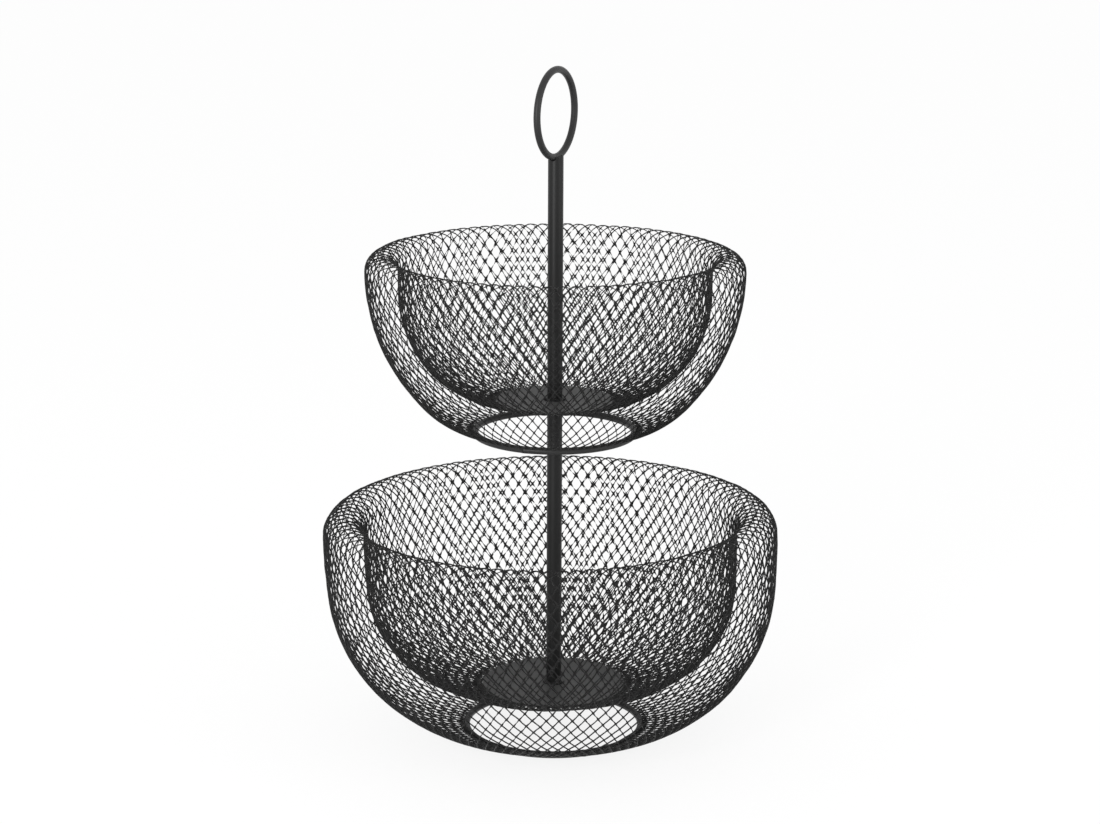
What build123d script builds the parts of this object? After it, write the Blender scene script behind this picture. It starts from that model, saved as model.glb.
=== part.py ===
from build123d import *
import os
from math import cos, radians, sin

# Tiered wire basket: two double-walled mesh baskets on one centre post, with a ring handle on top.
# Millimetres. +Z is up, and the origin is on the floor, on the post's axis.

# Stock that several pieces are made from
mesh_thickness = 1.0
base_wire_radius = 2.0
ring_foot_depth = 0.2
disc_thickness = 1.6
post_radius = 5.0
post_wall = 1.0
washer_radius = 7.5
washer_thickness = 1.2
thread_radius = 2.5
insert_length = 12.0

# Gaps between pieces that are welded, pressed, screwed or slipped together
weld_gap = 0.05
press_gap = 0.02
thread_clearance = 0.05
hole_clearance = 0.3
cut_overrun = 5.0

# Lower basket. Heights are from the floor, and outlines run as shares of their own span.
lower_ring_radius = 58.6
lower_widest_radius = 150.0
lower_shoulder_height = 138.2
lower_rim_width = 27.5
lower_disc_radius = 47.6
lower_disc_height = 31.6
lower_wall_shares = [(0.984, 0.71)]
lower_bowl_shares = [(0.988, 0.652), (0.539, 0.135)]

# Upper basket. Heights are from the underside of its own base ring.
upper_ring_radius = 52.2
upper_widest_radius = 123.2
upper_shoulder_height = 109.4
upper_rim_width = 22.6
upper_disc_radius = 38.5
upper_disc_height = 23.6
upper_wall_shares = [(0.91, 0.631), (0.493, 0.17)]
upper_bowl_shares = [(0.997, 0.798)]

# Centre post and the stud that joins its two lengths
lower_post_length = 191.0
upper_post_length = 158.5
stud_length = 18.0
stud_depth = 9.2

# Screw that holds the lower basket to the post from below
screw_length = 14.0
screw_head_radius = 4.75
screw_head_height = 3.0
screw_head_round = 1.2
screw_socket_radius = 1.7
screw_socket_depth = 1.8

# Ring handle, set in a saddle cut across the top of the post
handle_radius = 27.75
handle_wire_radius = 2.25
handle_ear_height = 0.55
handle_turn = 64.5

# Radii worked out from the fits
thread_bore_radius = thread_radius + thread_clearance
bolt_hole_radius = thread_radius + hole_clearance
insert_radius = post_radius - post_wall - press_gap
saddle_radius = handle_wire_radius + weld_gap

# Heights worked out from the pieces that are stacked on the post
lower_disc_base = lower_disc_height - disc_thickness
base_washer_base = lower_disc_base - washer_thickness
lower_post_base = lower_disc_height + washer_thickness
lower_post_top = lower_post_base + lower_post_length
upper_disc_base = lower_post_top + washer_thickness
upper_disc_top = upper_disc_base + disc_thickness
upper_base = upper_disc_top - upper_disc_height
upper_post_base = upper_disc_top + washer_thickness
upper_post_top = upper_post_base + upper_post_length
handle_low = upper_post_top - handle_ear_height
handle_centre = handle_low + handle_radius


def along(start, end, shares):
    """Points from one corner of an outline towards another, as shares of the way across and up."""
    across = end[0] - start[0]
    up = end[1] - start[1]
    return [(start[0] + a * across, start[1] + u * up) for a, u in shares]


def wall_arcs(shoulder, end, shares):
    """Arcs that run on from each other, from straight down at the rim's shoulder to the mesh's end."""
    start = shoulder
    heading = (0, -1)
    for point in along(end, shoulder, shares) + [end]:
        arc = TangentArc(start, point, tangent=heading)
        start = point
        heading = arc % 1


def basket_mesh(label, base, ring_radius, widest, shoulder, rim_width, disc_radius, disc_top, wall, bowl):
    """One sleeve of mesh: up the outer wall from the base ring, over the rolled rim, down to the disc."""
    rim_radius = rim_width / 2
    foot = (ring_radius, base + 2 * base_wire_radius - ring_foot_depth + weld_gap)
    hem = (disc_radius + weld_gap, base + disc_top - disc_thickness / 2 + mesh_thickness / 2)
    with BuildPart() as mesh:
        with BuildSketch(Plane.XZ):
            with BuildLine():
                wall_arcs((widest, base + shoulder), foot, wall)
                CenterArc((widest - rim_radius, base + shoulder), rim_radius, 0, 180)
                wall_arcs((widest - rim_width, base + shoulder), hem, bowl)
                offset(amount=mesh_thickness, side=Side.LEFT)
            make_face()
        revolve(axis=Axis.Z)
    mesh.part.label = label
    return mesh.part


def base_ring(label, base, ring_radius):
    """A hoop of round wire under a basket, with a narrow flat ground on its underside."""
    with BuildPart() as ring:
        with BuildSketch(Plane.XZ):
            with Locations((ring_radius, base + base_wire_radius - ring_foot_depth)):
                Circle(base_wire_radius)
        revolve(axis=Axis.Z)
        split(bisect_by=Plane.XY.offset(base), keep=Keep.TOP)
    ring.part.label = label
    return ring.part


def round_plate(label, base, thickness, radius, hole_radius):
    """A flat round piece with a hole in its middle: a disc, a washer or a threaded insert."""
    with BuildPart() as plate:
        with BuildSketch(Plane.XY.offset(base)):
            Circle(radius)
            Circle(hole_radius, mode=Mode.SUBTRACT)
        extrude(amount=thickness)
    plate.part.label = label
    return plate.part


# Lower basket: mesh, base ring, floor disc and the washers each side of the disc
lower_mesh = basket_mesh(
    "lower_mesh", 0, lower_ring_radius, lower_widest_radius, lower_shoulder_height, lower_rim_width,
    lower_disc_radius, lower_disc_height, lower_wall_shares, lower_bowl_shares,
)
lower_base_ring = base_ring("lower_base_ring", 0, lower_ring_radius)
lower_floor_disc = round_plate(
    "lower_floor_disc", lower_disc_base, disc_thickness, lower_disc_radius, bolt_hole_radius
)
base_washer = round_plate(
    "base_washer", base_washer_base, washer_thickness, washer_radius, bolt_hole_radius
)
foot_washer = round_plate(
    "foot_washer", lower_disc_height, washer_thickness, washer_radius, bolt_hole_radius
)

# Upper basket: the same pieces again, smaller
upper_mesh = basket_mesh(
    "upper_mesh", upper_base, upper_ring_radius, upper_widest_radius, upper_shoulder_height,
    upper_rim_width, upper_disc_radius, upper_disc_height, upper_wall_shares, upper_bowl_shares,
)
upper_base_ring = base_ring("upper_base_ring", upper_base, upper_ring_radius)
upper_floor_disc = round_plate(
    "upper_floor_disc", upper_disc_base, disc_thickness, upper_disc_radius, bolt_hole_radius
)
seat_washer = round_plate(
    "seat_washer", lower_post_top, washer_thickness, washer_radius, bolt_hole_radius
)
clamp_washer = round_plate(
    "clamp_washer", upper_disc_top, washer_thickness, washer_radius, bolt_hole_radius
)

# Threaded inserts pressed into the ends of the tubes, their threads shown as plain bores
post_foot_insert = round_plate(
    "post_foot_insert", lower_post_base, insert_length, insert_radius, thread_bore_radius
)
post_top_insert = round_plate(
    "post_top_insert", lower_post_top - insert_length, insert_length, insert_radius, thread_bore_radius
)
handle_insert = round_plate(
    "handle_insert", upper_post_base, insert_length, insert_radius, thread_bore_radius
)

# Lower length of the post, a plain tube
with BuildPart() as lower_post:
    with BuildSketch(Plane.XY.offset(lower_post_base)):
        Circle(post_radius)
        Circle(post_radius - post_wall, mode=Mode.SUBTRACT)
    extrude(amount=lower_post_length)
lower_post.part.label = "lower_post"

# Directions of the handle: along its hoop, and square to it
hoop_line = Vector(cos(radians(handle_turn)), sin(radians(handle_turn)), 0)
hoop_normal = Vector(sin(radians(handle_turn)), -cos(radians(handle_turn)), 0)
saddle_plane = Plane(origin=(0, 0, handle_low), x_dir=hoop_normal, z_dir=-hoop_line)

# Upper length of the post, a tube whose top is cut to a saddle for the hoop
with BuildPart() as upper_post:
    with BuildSketch(Plane.XY.offset(upper_post_base)):
        Circle(post_radius)
        Circle(post_radius - post_wall, mode=Mode.SUBTRACT)
    extrude(amount=upper_post_length)
    with BuildSketch(saddle_plane):
        Circle(saddle_radius)
        with Locations((0, cut_overrun / 2)):
            Rectangle(2 * saddle_radius, cut_overrun)
    extrude(amount=post_radius + cut_overrun, both=True, mode=Mode.SUBTRACT)
upper_post.part.label = "upper_post"

# Ring handle, a closed hoop of wire standing upright in the saddle
with BuildPart() as ring_handle:
    with BuildSketch(saddle_plane):
        Circle(handle_wire_radius)
    revolve(axis=Axis((0, 0, handle_centre), hoop_normal))
ring_handle.part.label = "ring_handle"

# Stud fixed in the top of the lower tube, which the upper tube screws down on
with BuildPart() as joining_stud:
    with BuildSketch(Plane.XY.offset(lower_post_top - stud_depth)):
        Circle(thread_radius)
    extrude(amount=stud_length)
joining_stud.part.label = "joining_stud"

# Screw up through the lower disc, with a rounded head and a hexagon socket
with BuildPart() as base_screw:
    with BuildSketch(Plane.XY.offset(base_washer_base)):
        Circle(thread_radius)
    extrude(amount=screw_length)
    with BuildSketch(Plane.XY.offset(base_washer_base - screw_head_height)):
        Circle(screw_head_radius)
    extrude(amount=screw_head_height)
    fillet(base_screw.edges().sort_by(Axis.Z)[0], radius=screw_head_round)
    with BuildSketch(Plane.XY.offset(base_washer_base - screw_head_height)):
        RegularPolygon(screw_socket_radius, side_count=6)
    extrude(amount=screw_socket_depth, mode=Mode.SUBTRACT)
base_screw.part.label = "base_screw"

pieces = [
    lower_mesh, lower_base_ring, lower_floor_disc, base_screw.part, base_washer, foot_washer,
    lower_post.part, post_foot_insert, post_top_insert, joining_stud.part,
    seat_washer, upper_mesh, upper_base_ring, upper_floor_disc,
    clamp_washer, upper_post.part, handle_insert, ring_handle.part,
]
os.makedirs("parts", exist_ok=True)
for piece in pieces:
    export_step(piece, f"parts/{piece.label}.step")
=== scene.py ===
"""Looks of the tiered wire basket: sleeves of expanded mesh, base rings, discs, post and ring handle."""

import logging
import math
from dataclasses import dataclass
from enum import Enum
from itertools import pairwise

import bmesh
import bpy
from mathutils import Matrix, Vector, noise
from mathutils.kdtree import KDTree

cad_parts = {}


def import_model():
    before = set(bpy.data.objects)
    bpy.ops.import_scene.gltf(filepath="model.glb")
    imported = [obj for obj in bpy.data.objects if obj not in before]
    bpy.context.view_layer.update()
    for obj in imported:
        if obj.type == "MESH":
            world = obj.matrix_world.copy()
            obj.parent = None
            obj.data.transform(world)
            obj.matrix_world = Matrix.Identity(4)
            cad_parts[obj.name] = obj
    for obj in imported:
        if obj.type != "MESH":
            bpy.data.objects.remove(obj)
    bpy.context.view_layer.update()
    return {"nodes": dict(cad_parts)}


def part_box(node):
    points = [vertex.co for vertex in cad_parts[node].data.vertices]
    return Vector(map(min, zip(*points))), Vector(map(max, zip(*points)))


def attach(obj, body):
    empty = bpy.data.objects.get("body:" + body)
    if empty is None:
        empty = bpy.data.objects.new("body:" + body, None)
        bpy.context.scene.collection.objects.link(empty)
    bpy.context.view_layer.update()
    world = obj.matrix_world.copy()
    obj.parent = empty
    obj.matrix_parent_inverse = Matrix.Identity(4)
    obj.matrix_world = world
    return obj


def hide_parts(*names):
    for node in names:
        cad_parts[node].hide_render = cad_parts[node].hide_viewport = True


MM = 0.001
log = logging.getLogger("tiered_basket")


class Slot(Enum):
    """Finishes that the record names, and that a scene can repaint."""

    MESH = "mesh_paint"
    DISC = "disc_paint"
    WIRE = "wire_paint"
    TUBE = "tube_paint"
    ZINC = "zinc_steel"


def grey(level: float) -> tuple[float, float, float, float]:
    """Gives a neutral opaque colour of that linear level."""
    return (level, level, level, 1.0)


class FinishNodes:
    """A new material, whose shader is led by noises in the piece's own space."""

    def __init__(self, name: str) -> None:
        """Starts the material.

        Args:
            name: The material's name.
        """
        self.material = bpy.data.materials.new(name)
        self.material.use_nodes = True
        self.nodes = self.material.node_tree.nodes
        self.links = self.material.node_tree.links
        self.surface = self.nodes["Principled BSDF"].inputs
        self.place = self.nodes.new("ShaderNodeTexCoord").outputs["Object"]

    def mottle(self, size: float, detail: float) -> bpy.types.NodeSocket:
        """Adds a noise over the piece.

        Args:
            size: The width of its features, in metres.
            detail: How many finer layers of noise are in it.

        Returns:
            The noise's level.
        """
        texture = self.nodes.new("ShaderNodeTexNoise")
        texture.inputs["Scale"].default_value = 1 / size
        texture.inputs["Detail"].default_value = detail
        self.links.new(self.place, texture.inputs["Vector"])
        return texture.outputs["Fac"]

    def tone(
        self, level: bpy.types.NodeSocket, shades: tuple[float, float], ends: tuple[float, float],
    ) -> None:
        """Blends the colour between two greys.

        Args:
            level: The noise that it follows.
            shades: The dark grey and the light one.
            ends: The noise's levels at which it has reached each.
        """
        ramp = self.nodes.new("ShaderNodeValToRGB")
        for stop, shade, end in zip(ramp.color_ramp.elements, shades, ends):
            stop.position = end
            stop.color = grey(shade)
        self.links.new(level, ramp.inputs["Fac"])
        self.links.new(ramp.outputs["Color"], self.surface["Base Color"])

    def roughness(self, level: bpy.types.NodeSocket, span: tuple[float, float]) -> None:
        """Lets the roughness vary.

        Args:
            level: The noise that it follows.
            span: The least and the greatest roughness.
        """
        spread = self.nodes.new("ShaderNodeMapRange")
        spread.inputs["To Min"].default_value, spread.inputs["To Max"].default_value = span
        self.links.new(level, spread.inputs["Value"])
        self.links.new(spread.outputs["Result"], self.surface["Roughness"])

    def relief(self, level: bpy.types.NodeSocket, height: float) -> None:
        """Gives the surface a fine relief.

        Args:
            level: The noise that it follows.
            height: Its height, in metres.
        """
        bump = self.nodes.new("ShaderNodeBump")
        bump.inputs["Distance"].default_value = height
        self.links.new(level, bump.inputs["Height"])
        self.links.new(bump.outputs["Normal"], self.surface["Normal"])


@dataclass(frozen=True)
class PowderCoat:
    """Baked black powder paint: satin, faintly pebbled, a little uneven in tone."""

    shade: float
    roughness: float = 0.42
    gloss: float = 0.3
    pebble_size: float = 0.9 * MM
    pebble_height: float = 0.02 * MM
    pebble_detail: float = 2
    cloud_size: float = 30 * MM
    cloud_detail: float = 3
    cloud_spread: float = 0.12
    cloud_ends: tuple[float, float] = (0.3, 0.7)

    def material(self, name: str) -> bpy.types.Material:
        """Builds the paint.

        Args:
            name: The material's name.

        Returns:
            The material, with one noise for its tone and roughness and a finer one for its pebbling.
        """
        paint = FinishNodes(name)
        paint.surface["Specular IOR Level"].default_value = self.gloss
        least, most = 1 - self.cloud_spread, 1 + self.cloud_spread
        cloud = paint.mottle(self.cloud_size, self.cloud_detail)
        paint.tone(cloud, (self.shade * least, self.shade * most), self.cloud_ends)
        paint.roughness(cloud, (self.roughness * least, self.roughness * most))
        pebble = paint.mottle(self.pebble_size, self.pebble_detail)
        paint.relief(pebble, self.pebble_height)
        return paint.material


@dataclass(frozen=True)
class ZincPlate:
    """Bright zinc plating on the screw, the stud and the inserts, with a fine grain."""

    shade: float = 0.55
    dark_share: float = 0.85
    light_share: float = 1.1
    roughness: float = 0.38
    grain_size: float = 0.25 * MM
    grain_height: float = 0.01 * MM
    grain_detail: float = 2
    grain_ends: tuple[float, float] = (0.0, 1.0)

    def material(self, name: str) -> bpy.types.Material:
        """Builds the plating.

        Args:
            name: The material's name.

        Returns:
            The material, a metal with one noise for its tone and its grain.
        """
        plate = FinishNodes(name)
        plate.surface["Metallic"].default_value = 1
        plate.surface["Roughness"].default_value = self.roughness
        grain = plate.mottle(self.grain_size, self.grain_detail)
        plate.tone(grain, (self.shade * self.dark_share, self.shade * self.light_share), self.grain_ends)
        plate.relief(grain, self.grain_height)
        return plate.material


def seen_rays(tree: bpy.types.NodeTree) -> bpy.types.NodeSocket:
    """Tells the rays that show a surface, straight or by reflection, from those that only light one.

    Args:
        tree: The node tree to work in.

    Returns:
        A socket that is 1 for camera, glossy and transmission rays, and otherwise 0.
    """
    path = tree.nodes.new("ShaderNodeLightPath")
    seen = path.outputs["Is Camera Ray"]
    for ray in ("Is Glossy Ray", "Is Transmission Ray"):
        either = tree.nodes.new("ShaderNodeMath")
        either.operation = "MAXIMUM"
        tree.links.new(seen, either.inputs[0])
        tree.links.new(path.outputs[ray], either.inputs[1])
        seen = either.outputs[0]
    return seen


def deselect_all() -> None:
    """Leaves object mode with nothing selected, so that an operator acts on new work alone."""
    if bpy.context.object and bpy.context.object.mode != "OBJECT":
        bpy.ops.object.mode_set(mode="OBJECT")
    bpy.ops.object.select_all(action="DESELECT")


def settle_object(piece: bpy.types.Object, name: str) -> bpy.types.Object:
    """Names a piece and moves its place, turn and scale into its mesh.

    Args:
        piece: The finished object.
        name: Its name in the visual model.

    Returns:
        The same object, at the origin.
    """
    deselect_all()
    piece.select_set(True)
    bpy.context.view_layer.objects.active = piece
    bpy.ops.object.transform_apply(location=True, rotation=True, scale=True)
    piece.name = piece.data.name = name
    return piece


def dress(piece: bpy.types.Object, material: bpy.types.Material) -> None:
    """Puts one material on the whole of a piece."""
    piece.data.materials.clear()
    piece.data.materials.append(material)


def arc_on(start: Vector, heading: Vector, end: Vector, steps: int) -> list[Vector]:
    """Follows the arc that leaves a point in a given direction and ends at another.

    Args:
        start: Where the arc starts.
        heading: Its direction there, of unit length.
        end: Where it ends.
        steps: How many chords it is divided into.

    Returns:
        The points after the start, the end included.
    """
    chord = end - start
    side = Vector((-heading.y, heading.x))
    radius = chord.length_squared / (2 * side.dot(chord))
    centre = start + side * radius
    turn = 2 * math.atan2(side.dot(chord), heading.dot(chord))
    return [centre + Matrix.Rotation(turn * i / steps, 2) @ (start - centre) for i in range(1, steps + 1)]


@dataclass(frozen=True)
class Profile:
    """Half section of a sleeve of mesh, as distance from the post's axis and height.

    The wall runs from the foot on the base ring up to the rim, the bowl from the rim down to the hem.
    Shares place the points between arcs, from the foot or the hem towards the rim.
    """

    foot: Vector
    hem: Vector
    outer_shoulder: Vector
    rim_width: float
    wall_shares: tuple[tuple[float, float], ...]
    bowl_shares: tuple[tuple[float, float], ...]
    arc_steps: int = 96

    def side(self, shoulder: Vector, end: Vector, shares: tuple[tuple[float, float], ...]) -> list[Vector]:
        """Runs arcs on from each other, straight down at the rim's shoulder, to one end of the mesh.

        Args:
            shoulder: Where the rim's half circle ends.
            end: The foot or the hem.
            shares: Places between arcs, as shares of the way from the end to the shoulder.

        Returns:
            Points from the shoulder to the end.
        """
        points = [shoulder]
        heading = Vector((0, -1))
        for across, up in (*shares, (0, 0)):
            target = end + Vector((across * (shoulder.x - end.x), up * (shoulder.y - end.y)))
            chord = target - points[-1]
            mirror = chord * (2 * heading.dot(chord) / chord.length_squared)
            points += arc_on(points[-1], heading, target, self.arc_steps)
            heading = (mirror - heading).normalized()
        return points

    def points(self) -> list[Vector]:
        """Draws the whole outline.

        Returns:
            Points from the foot, up the wall and over the rim, down the bowl to the hem.
        """
        half = self.rim_width / 2
        crown = self.outer_shoulder - Vector((half, 0))
        inner_shoulder = self.outer_shoulder - Vector((self.rim_width, 0))
        rim = [
            crown + Vector((half * math.cos(a), half * math.sin(a)))
            for a in (math.pi * i / self.arc_steps for i in range(1, self.arc_steps))
        ]
        wall = self.side(self.outer_shoulder, self.foot, self.wall_shares)
        return [*reversed(wall), *rim, *self.side(inner_shoulder, self.hem, self.bowl_shares)]


class Track:
    """A profile's outline as a fine line, which rows are paced along and strands are measured from."""

    def __init__(self, profile: Profile) -> None:
        """Lays the line.

        Args:
            profile: The half section of the sleeve.
        """
        self.points = profile.points()
        self.tree = KDTree(len(self.points))
        for i, point in enumerate(self.points):
            self.tree.insert(point.to_3d(), i)
        self.tree.balance()

    def rows(self, link: float, columns: int) -> list[Vector]:
        """Places rows of knots along the line, closer together where the mesh is stretched wider.

        Args:
            link: The length of strand from knot to knot, which stretching leaves as it is.
            columns: How many diamonds go round.

        Returns:
            The places of the rows, the foot and the hem among them.
        """
        paces = [0.0]
        for a, b in pairwise(self.points):
            half_pitch = math.pi * (a.x + b.x) / 2 / columns
            paces.append(paces[-1] + (b - a).length / math.sqrt(link**2 - half_pitch**2))
        count = round(paces[-1])
        rows, i = [], 0
        for k in range(count + 1):
            target = paces[-1] * k / count
            while i < len(self.points) - 2 and paces[i + 1] < target:
                i += 1
            share = (target - paces[i]) / (paces[i + 1] - paces[i])
            rows.append(self.points[i].lerp(self.points[i + 1], share))
        return rows

    def nearest(self, point: Vector) -> tuple[Vector, Vector, float]:
        """Measures a point of the section from the line.

        Args:
            point: Distance from the post's axis and height.

        Returns:
            The nearest place on the line, the line's direction there, and how far the point stands out
            on the side that faces away from the space between the walls.
        """
        _, i, _ = self.tree.find(point.to_3d())
        i = min(max(i, 1), len(self.points) - 2)
        heading = (self.points[i + 1] - self.points[i - 1]).normalized()
        place = self.points[i] + heading * heading.dot(point - self.points[i])
        outward = Vector((heading.y, -heading.x))
        return place, heading, outward.dot(point - place)


@dataclass(frozen=True)
class Unevenness:
    """How far the stretched and hand-shaped mesh strays from a perfect one.

    The drift is slow along the mesh, the jitter quick. The sway and tilt set the whole rim off true.
    """

    seed: int
    drift: float = 0.8 * MM
    drift_size: float = 24 * MM
    jitter: float = 0.5 * MM
    jitter_size: float = 7 * MM
    bulge_share: float = 0.45
    held_share: float = 0.25
    sway: Vector = Vector((0, 0))
    tilt: float = 0.0

    def start(self) -> None:
        """Sets the noise to the seed, so that the mesh strays alike on each run."""
        noise.seed_set(self.seed)

    def shift(self, point: Vector, outward: Vector, height_share: float) -> Vector:
        """Finds how far a point of the mesh lies from its ideal place.

        Args:
            point: The ideal place.
            outward: The sheet's normal there. The sheet strays less along it than within itself.
            height_share: Its height, from 0 at the base ring to 1 at the rim.

        Returns:
            The shift, in metres, which dies out over the held share of the height above the base ring.
        """
        origin = Vector((self.seed, self.seed, self.seed))
        slow = noise.noise_vector(point / self.drift_size + origin) * self.drift
        fast = noise.noise_vector(point / self.jitter_size - origin) * self.jitter
        stray = slow + fast
        stray -= outward * outward.dot(stray) * (1 - self.bulge_share)
        lopside = self.sway.to_3d() + Vector((0, 0, self.tilt * point.x))
        return stray * min(1.0, height_share / self.held_share) + lopside * height_share


@dataclass(frozen=True)
class MeshSleeve:
    """One basket's sleeve of expanded metal, from the base ring over the rim to the disc.

    Slitting and stretching leave its diamonds with strands that are flat strips. Each strip leans across
    the sheet and is thicker at its knots than at its waist.
    """

    profile: Profile
    columns: int
    link: float
    unevenness: Unevenness
    strand: float
    waist_share: float = 0.85
    depth_share: float = 0.7
    lean: float = -0.45

    def lattice(self, rows: list[Vector]) -> bpy.types.Object:
        """Raises a ring of knots row by row, each row turned half a diamond from the last.

        Args:
            rows: Distance from the axis and height of each row.

        Returns:
            An object in edit mode, its faces cut into triangles whose sloping edges are the strands.
        """
        deselect_all()
        first = rows[0]
        bpy.ops.mesh.primitive_circle_add(vertices=self.columns, radius=first.x, location=(0, 0, first.y))
        sleeve = bpy.context.object
        bpy.ops.object.transform_apply(location=True)
        bpy.ops.object.mode_set(mode="EDIT")
        bpy.ops.mesh.select_mode(type="EDGE")
        bpy.ops.mesh.select_all(action="SELECT")
        half_pitch = math.pi / self.columns
        for low, high in pairwise(rows):
            bpy.ops.mesh.extrude_edges_move(TRANSFORM_OT_translate={"value": (0, 0, high.y - low.y)})
            widen = high.x / low.x
            bpy.ops.transform.resize(value=(widen, widen, 1), center_override=(0, 0, 0))
            bpy.ops.transform.rotate(value=half_pitch, orient_axis="Z", center_override=(0, 0, 0))
        bpy.ops.mesh.select_all(action="SELECT")
        bpy.ops.mesh.quads_convert_to_tris(quad_method="SHORTEST_DIAGONAL")
        return sleeve

    def open_diamonds(self, sleeve: bpy.types.Object, track: Track) -> None:
        """Takes out the edges that run round the basket, and gives each strand a waist on the sheet.

        Args:
            sleeve: The lattice, in edit mode. It is left in object mode.
            track: The line that its rows follow.
        """
        cage = bmesh.from_edit_mesh(sleeve.data)
        cage.verts.ensure_lookup_table()
        row_of = {v: v.index // self.columns for v in cage.verts}
        hoops = [e for e in cage.edges if row_of[e.verts[0]] == row_of[e.verts[1]] and not e.is_boundary]
        bmesh.ops.dissolve_edges(cage, edges=hoops)
        knots = set(cage.verts)
        bmesh.ops.bisect_edges(cage, edges=[e for e in cage.edges if not e.is_boundary], cuts=1)
        weights = cage.verts.layers.deform.verify()
        for v in cage.verts:
            v[weights][0] = 1.0 if v in knots else self.waist_share
            if v not in knots:
                place, _, _ = track.nearest(Vector((v.co.xy.length, v.co.z)))
                v.co = (*(v.co.xy.normalized() * place.x), place.y)
        bmesh.update_edit_mesh(sleeve.data)
        bpy.ops.mesh.select_all(action="SELECT")
        bpy.ops.mesh.normals_make_consistent(inside=False)
        bpy.ops.object.mode_set(mode="OBJECT")

    def lean_strands(self, sleeve: bpy.types.Object, track: Track) -> None:
        """Leans each strand's section along the sheet, then lets the whole mesh stray from its shape.

        Args:
            sleeve: The mesh of strands.
            track: The line that the middle of the sheet follows.
        """
        base, top = track.points[0].y, max(point.y for point in track.points)
        self.unevenness.start()
        for v in sleeve.data.vertices:
            place, heading, offset = track.nearest(Vector((v.co.xy.length, v.co.z)))
            depth = offset * self.depth_share
            spot = place + Vector((heading.y, -heading.x)) * depth + heading * depth * self.lean
            radial = v.co.xy.normalized()
            v.co = (*(radial * spot.x), spot.y)
            outward = Vector((*(radial * heading.y), -heading.x))
            v.co += self.unevenness.shift(v.co, outward, (spot.y - base) / (top - base))

    def build(self, name: str) -> bpy.types.Object:
        """Makes the sleeve's strands.

        Args:
            name: The piece's name.

        Returns:
            The finished mesh of strands.
        """
        track = Track(self.profile)
        sleeve = self.lattice(track.rows(self.link, self.columns))
        self.open_diamonds(sleeve, track)
        sleeve.vertex_groups.new(name="knots")
        wire = sleeve.modifiers.new("strands", "WIREFRAME")
        wire.thickness = self.strand
        wire.use_even_offset = True
        wire.use_boundary = True
        wire.vertex_group = "knots"
        bpy.ops.object.modifier_apply(modifier=wire.name)
        sleeve.vertex_groups.clear()
        self.lean_strands(sleeve, track)
        bpy.ops.object.shade_smooth()
        return settle_object(sleeve, name)


@dataclass(frozen=True)
class BaseHoop:
    """The wire hoop under a basket, bent round until its two ends meet in a butt joint.

    One end stands out from the other by a small step. Paint and the run of weld along the mesh make the
    hoop a little thicker than the bare wire of the CAD, and its underside is ground flat.
    """

    level: str
    joint_angle: float
    flat: float = 0.2 * MM
    coat: float = 0.3 * MM
    gap: float = 0.35 * MM
    step: float = 0.5 * MM
    step_run: float = 9 * MM
    sides: int = 20
    segments: int = 180
    merge_distance: float = 0.01 * MM
    cut_tolerance: float = 0.001 * MM
    sharpest_smooth: float = math.radians(50)

    def build(self, name: str) -> bpy.types.Object:
        """Makes the hoop on its CAD node's place.

        Args:
            name: The piece's name.

        Returns:
            The closed mesh of a hoop of round wire.
        """
        low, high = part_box(f"{self.level}_base_ring")
        bare = (high.z - low.z + self.flat) / 2
        wire = bare + self.coat
        radius = high.x - bare
        deselect_all()
        bpy.ops.mesh.primitive_circle_add(
            vertices=self.sides, radius=wire, fill_type="NGON",
            location=(radius, 0, low.z + wire - self.flat), rotation=(math.pi / 2, 0, 0),
        )
        hoop = bpy.context.object
        bpy.ops.object.transform_apply(location=True, rotation=True)
        bpy.ops.object.mode_set(mode="EDIT")
        bpy.ops.mesh.select_all(action="SELECT")
        run = 2 * math.pi - self.gap / radius
        bpy.ops.mesh.spin(steps=self.segments, angle=run, center=(0, 0, 0), axis=(0, 0, 1))
        bpy.ops.mesh.select_all(action="SELECT")
        bpy.ops.mesh.remove_doubles(threshold=self.merge_distance)
        bpy.ops.mesh.normals_make_consistent(inside=False)
        bpy.ops.mesh.bisect(
            plane_co=(0, 0, low.z), plane_no=(0, 0, 1), clear_inner=True, use_fill=True,
            threshold=self.cut_tolerance,
        )
        bpy.ops.object.mode_set(mode="OBJECT")
        for v in hoop.data.vertices:
            along = (math.atan2(v.co.y, v.co.x) % (2 * math.pi)) * radius
            share = max(0.0, 1 - along / self.step_run)
            out = 1 + self.step * share * share / radius
            v.co.x, v.co.y = v.co.x * out, v.co.y * out
        hoop.rotation_euler.z = self.joint_angle
        bpy.ops.object.shade_smooth_by_angle(angle=self.sharpest_smooth)
        return settle_object(hoop, name)


@dataclass(frozen=True)
class SoftBox:
    """One rectangular lamp of the studio, by its place, its width and height, and its watts."""

    name: str
    place: Vector
    size: tuple[float, float]
    watts: float

    def hang(self, aim: Vector) -> None:
        """Hangs the lamp.

        Args:
            aim: The point that it faces.
        """
        data = bpy.data.lights.new(self.name, "AREA")
        data.shape = "RECTANGLE"
        data.size, data.size_y = self.size
        data.energy = self.watts
        lamp = bpy.data.objects.new(self.name, data)
        bpy.context.scene.collection.objects.link(lamp)
        facing = (self.place - aim).to_track_quat("Z", "Y").to_matrix().to_4x4()
        lamp.matrix_world = Matrix.Translation(self.place) @ facing


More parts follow.
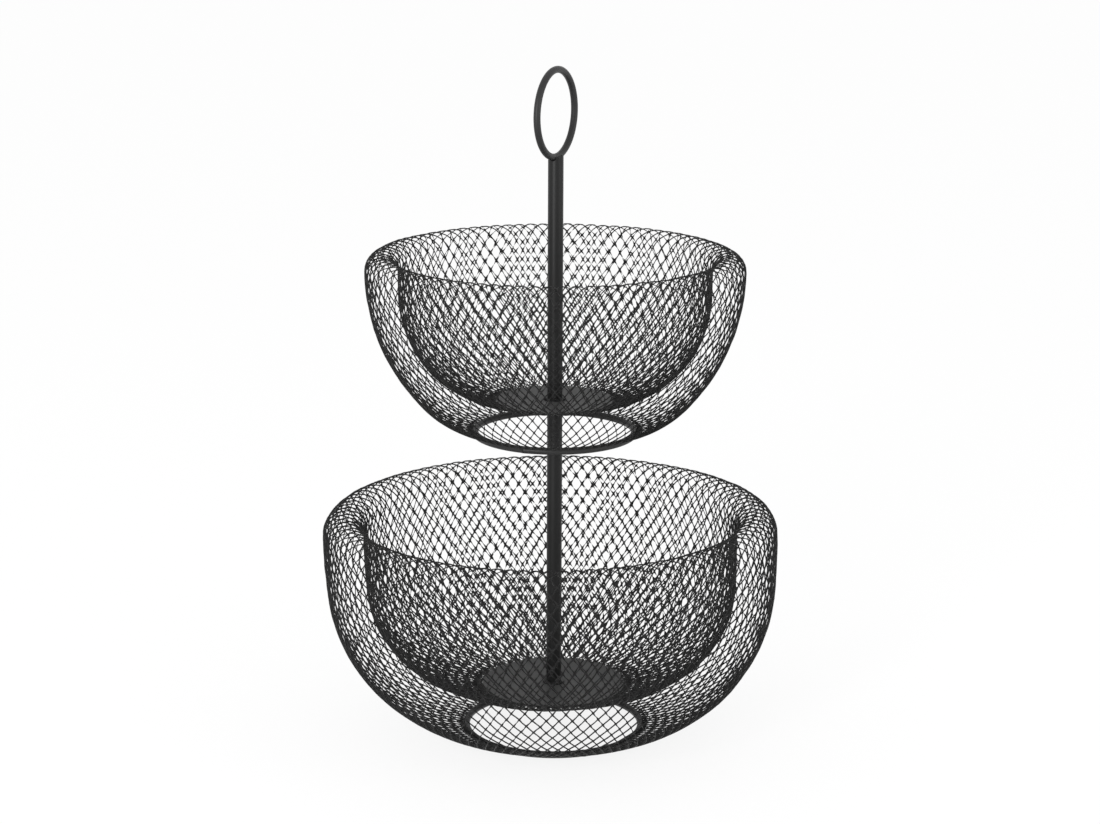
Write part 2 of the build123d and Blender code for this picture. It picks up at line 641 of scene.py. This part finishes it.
@dataclass(frozen=True)
class Studio:
    """White product studio, with the camera where the photographer stood."""

    camera_place: Vector = Vector((-3.12, -1614.5, 618.9)) * MM
    camera_dip: float = math.radians(13.949)
    camera_roll: float = math.radians(0.212)
    lens: float = 83.232
    sensor: float = 36.0
    camera_reach: float = 50.0
    floor_size: float = 12.0
    floor_shade: float = 0.93
    floor_roughness: float = 0.9
    floor_glow: float = 0.85
    fill: float = 0.95
    lamp_aim: Vector = Vector((0, 0, 0.2))
    lamps: tuple[SoftBox, ...] = (
        SoftBox("key_strip", Vector((-0.95, -1.95, 0.75)), size=(0.3, 1.4), watts=30),
        SoftBox("side_box", Vector((2.0, -1.0, 0.8)), size=(0.8, 1.2), watts=10),
    )

    def camera(self) -> None:
        """Places the camera and makes it the scene's."""
        data = bpy.data.cameras.new("camera")
        data.sensor_width, data.lens = self.sensor, self.lens
        data.clip_end = self.camera_reach
        camera = bpy.data.objects.new("camera", data)
        bpy.context.scene.collection.objects.link(camera)
        dip = Matrix.Rotation(math.pi / 2 - self.camera_dip, 4, "X")
        roll = Matrix.Rotation(self.camera_roll, 4, "Z")
        camera.matrix_world = Matrix.Translation(self.camera_place) @ (dip @ roll)
        bpy.context.scene.camera = camera

    def floor(self) -> None:
        """Lays a plain white floor, which keeps the object's shadow."""
        deselect_all()
        bpy.ops.mesh.primitive_plane_add(size=self.floor_size)
        floor = settle_object(bpy.context.object, "floor")
        paper = bpy.data.materials.new("studio_floor")
        paper.use_nodes = True
        nodes, links = paper.node_tree.nodes, paper.node_tree.links
        matt = nodes["Principled BSDF"]
        matt.inputs["Base Color"].default_value = grey(self.floor_shade)
        matt.inputs["Roughness"].default_value = self.floor_roughness
        matt.inputs["Specular IOR Level"].default_value = 0.0
        glow = nodes.new("ShaderNodeEmission")
        glow.inputs["Color"].default_value = grey(1.0)
        share = nodes.new("ShaderNodeMath")
        share.operation = "MULTIPLY"
        share.inputs[1].default_value = self.floor_glow
        links.new(seen_rays(paper.node_tree), share.inputs[0])
        blend = nodes.new("ShaderNodeMixShader")
        links.new(share.outputs[0], blend.inputs["Fac"])
        links.new(matt.outputs[0], blend.inputs[1])
        links.new(glow.outputs[0], blend.inputs[2])
        links.new(blend.outputs[0], nodes["Material Output"].inputs["Surface"])
        dress(floor, paper)

    def world(self) -> None:
        """Surrounds the object with white to the eye and in reflections, and softer light on surfaces."""
        world = bpy.data.worlds.new("studio")
        bpy.context.scene.world = world
        world.use_nodes = True
        nodes, links = world.node_tree.nodes, world.node_tree.links
        sky = nodes["Background"]
        sky.inputs["Color"].default_value = grey(1.0)
        strength = nodes.new("ShaderNodeMapRange")
        strength.inputs["To Min"].default_value = self.fill
        strength.inputs["To Max"].default_value = 1.0
        links.new(seen_rays(world.node_tree), strength.inputs["Value"])
        links.new(strength.outputs["Result"], sky.inputs["Strength"])

    def build(self) -> None:
        """Sets up the camera, floor, surroundings and lamps, and the plain view transform."""
        self.camera()
        self.floor()
        self.world()
        for lamp in self.lamps:
            lamp.hang(self.lamp_aim)
        bpy.context.scene.view_settings.view_transform = "Standard"


@dataclass(frozen=True)
class Basket:
    """One tier: its sleeve of mesh, the ring it stands on and the disc that is its floor."""

    level: str
    body: str
    columns: int
    link: float
    strand: float
    rim_width: float
    wall_shares: tuple[tuple[float, float], ...]
    bowl_shares: tuple[tuple[float, float], ...]
    joint_angle: float
    unevenness: Unevenness
    sheet: float = 1 * MM

    def profile(self) -> Profile:
        """Works out the outline of the sleeve from the CAD pieces that it runs between.

        Returns:
            The outline, along the middle of the sheet's thickness.
        """
        ring_low, ring_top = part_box(f"{self.level}_base_ring")
        disc_low, disc_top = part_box(f"{self.level}_floor_disc")
        _, sleeve_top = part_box(f"{self.level}_mesh")
        wire = (ring_top.z - ring_low.z) / 2
        shoulder = sleeve_top.z - self.rim_width / 2
        return Profile(
            foot=Vector((ring_top.x - wire, ring_top.z)),
            hem=Vector((disc_top.x, (disc_low.z + disc_top.z) / 2)),
            outer_shoulder=Vector((sleeve_top.x - self.sheet / 2, shoulder)),
            rim_width=self.rim_width - self.sheet,
            wall_shares=self.wall_shares,
            bowl_shares=self.bowl_shares,
        )

    def build(self, paints: dict[Slot, bpy.types.Material], nodes: dict[str, bpy.types.Object]) -> None:
        """Makes the sleeve of strands and the hoop, and dresses them and the disc.

        Args:
            paints: The finish of each slot.
            nodes: The CAD nodes by name.
        """
        sleeve = MeshSleeve(self.profile(), self.columns, self.link, self.unevenness, self.strand)
        strands = sleeve.build(f"{self.level}_strands")
        hoop = BaseHoop(self.level, self.joint_angle).build(f"{self.level}_hoop")
        for piece, node, slot in ((strands, "mesh", Slot.MESH), (hoop, "base_ring", Slot.WIRE)):
            dress(piece, paints[slot])
            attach(piece, self.body)
            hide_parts(f"{self.level}_{node}")
            piece.data.calc_loop_triangles()
            log.info("%s: %s, %d triangles", piece.name, slot.value, len(piece.data.loop_triangles))
        disc = f"{self.level}_floor_disc"
        dress(nodes[disc], paints[Slot.DISC])
        log.info("%s: %s", disc, Slot.DISC.value)


@dataclass(frozen=True)
class CentrePost:
    """The two tubes, the washers and the threaded pieces inside them, and the ring handle on top."""

    painted: tuple[str, ...] = (
        "lower_post", "upper_post", "base_washer", "foot_washer", "seat_washer", "clamp_washer",
    )
    plated: tuple[str, ...] = (
        "base_screw", "joining_stud", "post_foot_insert", "post_top_insert", "handle_insert",
    )
    wires: tuple[str, ...] = ("ring_handle",)

    def build(self, paints: dict[Slot, bpy.types.Material], nodes: dict[str, bpy.types.Object]) -> None:
        """Dresses every piece of the post.

        Args:
            paints: The finish of each slot.
            nodes: The CAD nodes by name.
        """
        for slot, names in ((Slot.TUBE, self.painted), (Slot.ZINC, self.plated), (Slot.WIRE, self.wires)):
            for name in names:
                dress(nodes[name], paints[slot])
                log.info("%s: %s", name, slot.value)


def main() -> None:
    """Builds the visual model round the CAD frame, and the studio that it stands in."""
    logging.basicConfig(level=logging.INFO, format="%(name)s: %(message)s")
    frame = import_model()
    Studio().build()
    finishes = {
        Slot.MESH: PowderCoat(shade=0.013, gloss=0.15),
        # Painted reflection: the discs' black paint is given a lighter grey for the light they catch.
        Slot.DISC: PowderCoat(shade=0.05, roughness=0.5, gloss=0.2),
        # Painted highlight: the hoops' and ring handle's black paint is given a lighter grey.
        Slot.WIRE: PowderCoat(shade=0.022, roughness=0.4, gloss=0.2),
        # Painted shade: the tubes' and washers' black paint is given a darker grey, for dark edges.
        Slot.TUBE: PowderCoat(shade=0.004),
        Slot.ZINC: ZincPlate(),
    }
    paints = {slot: finish.material(slot.value) for slot, finish in finishes.items()}
    lower = Basket(
        "lower", "lower_tier", columns=103, link=7.4 * MM, strand=1.48 * MM, rim_width=27.5 * MM,
        wall_shares=((0.984, 0.71),), bowl_shares=((0.988, 0.652), (0.539, 0.135)),
        joint_angle=math.radians(-70),
        unevenness=Unevenness(seed=3, sway=Vector((-3 * MM, 0)), tilt=0.01),
    )
    upper = Basket(
        "upper", "upper_tier", columns=84, link=7.35 * MM, strand=1.28 * MM, rim_width=22.6 * MM,
        wall_shares=((0.91, 0.631), (0.493, 0.17)), bowl_shares=((0.997, 0.798),),
        joint_angle=math.radians(-112),
        unevenness=Unevenness(seed=8),
    )
    for basket in (lower, upper):
        basket.build(paints, frame["nodes"])
    CentrePost().build(paints, frame["nodes"])


if __name__ == "__main__":
    main()
